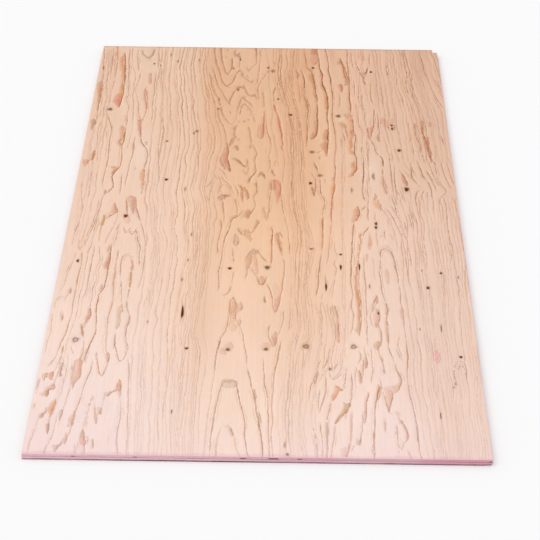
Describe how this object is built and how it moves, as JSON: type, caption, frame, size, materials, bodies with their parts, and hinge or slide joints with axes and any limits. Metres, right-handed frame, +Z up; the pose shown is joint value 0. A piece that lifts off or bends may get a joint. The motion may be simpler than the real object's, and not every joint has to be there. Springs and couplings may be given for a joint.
{
  "type": "plywood sheet",
  "caption": "Flat rectangular softwood plywood panel with square trimmed edges and a chipped corner, laid as sheathing, subfloor or shelving or cut up as stock.",
  "frame": {"origin": "middle of the underside", "axes": "+X across the face grain, +Y along the face grain towards the end with the broken corner, +Z up out of the better face"},
  "size_m": [1.219, 2.438, 0.018],
  "materials": {
    "fir_veneer": "bare rotary-cut fir veneer, matt"
  },
  "bodies": {
    "root": {"plywood_sheet": "fir_veneer"}
  },
  "joints": []
}
